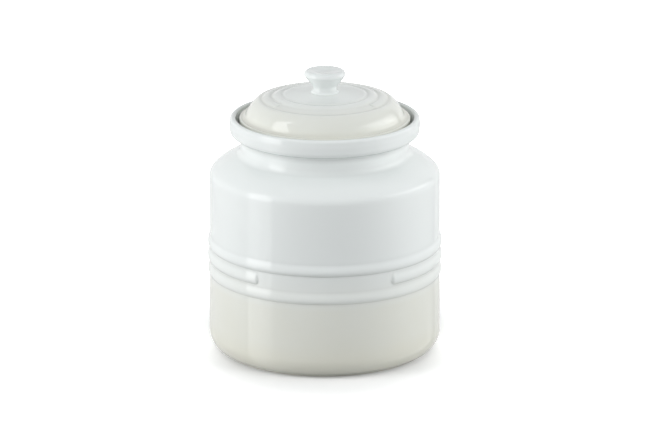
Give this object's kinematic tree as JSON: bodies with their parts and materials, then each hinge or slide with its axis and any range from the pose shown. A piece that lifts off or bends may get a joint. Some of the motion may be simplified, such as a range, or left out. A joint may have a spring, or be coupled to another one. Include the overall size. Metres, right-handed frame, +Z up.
{
  "type": "cookie jar",
  "caption": "Round glazed stoneware cookie jar with raised bands, a rolled rim and a drop-in domed lid with a knob.",
  "frame": {"origin": "centre of the foot ring's flat underside, on the surface the jar stands on", "axes": "+Z up along the jar's axis, -Y towards the front, where the middle band is broken"},
  "size_m": [0.1676, 0.1675, 0.2031],
  "materials": {
    "vessel_glaze": "glossy white glaze that turns to cream towards the foot, on stoneware",
    "lid_glaze": "glossy glaze, white at the crown and cream at the edge, on stoneware",
    "knob_glaze": "glossy white glaze on stoneware",
    "seal": "translucent white silicone"
  },
  "bodies": {
    "jar": {"jar_body": "vessel_glaze"},
    "seal": {"lid_seal": "seal"},
    "lid": {"lid": "lid_glaze", "lid_knob": "knob_glaze"}
  },
  "joints": [
    {"name": "lid_lift", "type": "slide", "parent": "jar", "child": "seal", "axis": [0, 0, 1], "range_m": [0, 0.1]},
    {"name": "lid_turn", "type": "hinge", "parent": "seal", "child": "lid", "pos_m": [0, 0, 0.163], "axis": [0, 0, 1], "continuous": true}
  ]
}
